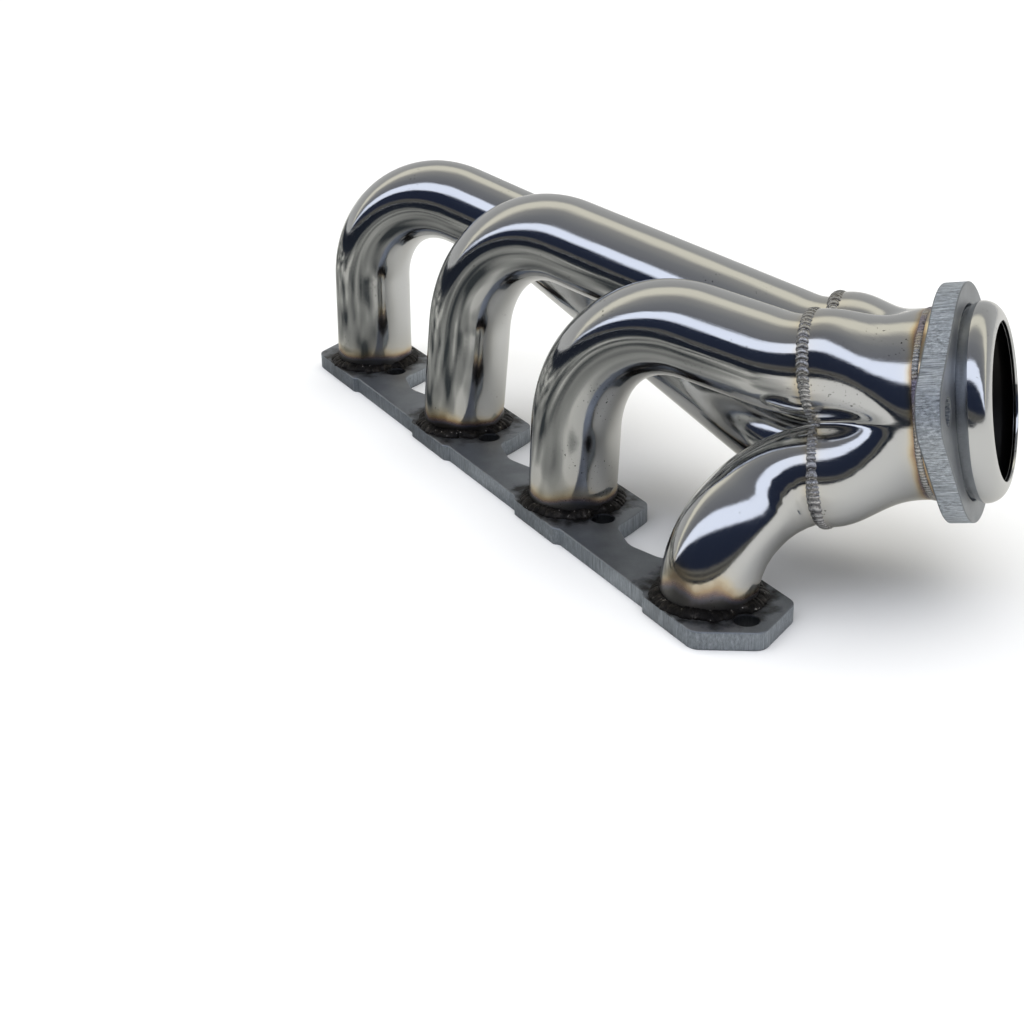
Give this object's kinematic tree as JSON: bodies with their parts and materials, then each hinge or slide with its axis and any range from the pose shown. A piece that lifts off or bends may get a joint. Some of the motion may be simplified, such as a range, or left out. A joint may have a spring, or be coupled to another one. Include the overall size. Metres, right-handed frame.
{
  "type": "exhaust manifold",
  "caption": "Tubular shorty exhaust manifold: polished runners join one flat head flange to a lobed collector with a ball outlet and a loose swivel flange",
  "frame": {"origin": "a point on the head flange's sealing face, on the connecting strip between the second and third ports, 13 mm to the outer side of the bolt line", "axes": "+X runs along the head flange from the first port to the fourth port, at the outlet end; +Y points to the collector side; +Z points away from the cylinder head"},
  "size_m": [0.4459, 0.1763, 0.1303],
  "materials": {
    "polished_stainless": "mirror polished stainless tube",
    "plated_plate": "satin, laser-cut and plated",
    "burnt_weld": "heat-blackened weld",
    "bright_weld": "rippled bright weld"
  },
  "bodies": {
    "manifold": {"head_flange": "plated_plate", "runner_1": "polished_stainless", "runner_2": "polished_stainless", "runner_3": "polished_stainless", "runner_4": "polished_stainless", "foot_weld_1": "burnt_weld", "foot_weld_2": "burnt_weld", "foot_weld_3": "burnt_weld", "foot_weld_4": "burnt_weld", "collector": "polished_stainless", "collector_weld": "bright_weld", "merge_plug": "bright_weld", "outlet_neck": "polished_stainless", "neck_weld": "bright_weld"},
    "swivel_flange": {"outlet_flange": "plated_plate"}
  },
  "joints": [
    {"name": "outlet_flange_swivel", "type": "hinge", "parent": "manifold", "child": "swivel_flange", "pos_m": [0.19672, 0.11007, 0.08046], "axis": [0.751, 0.6415, 0.1564], "continuous": true}
  ]
}
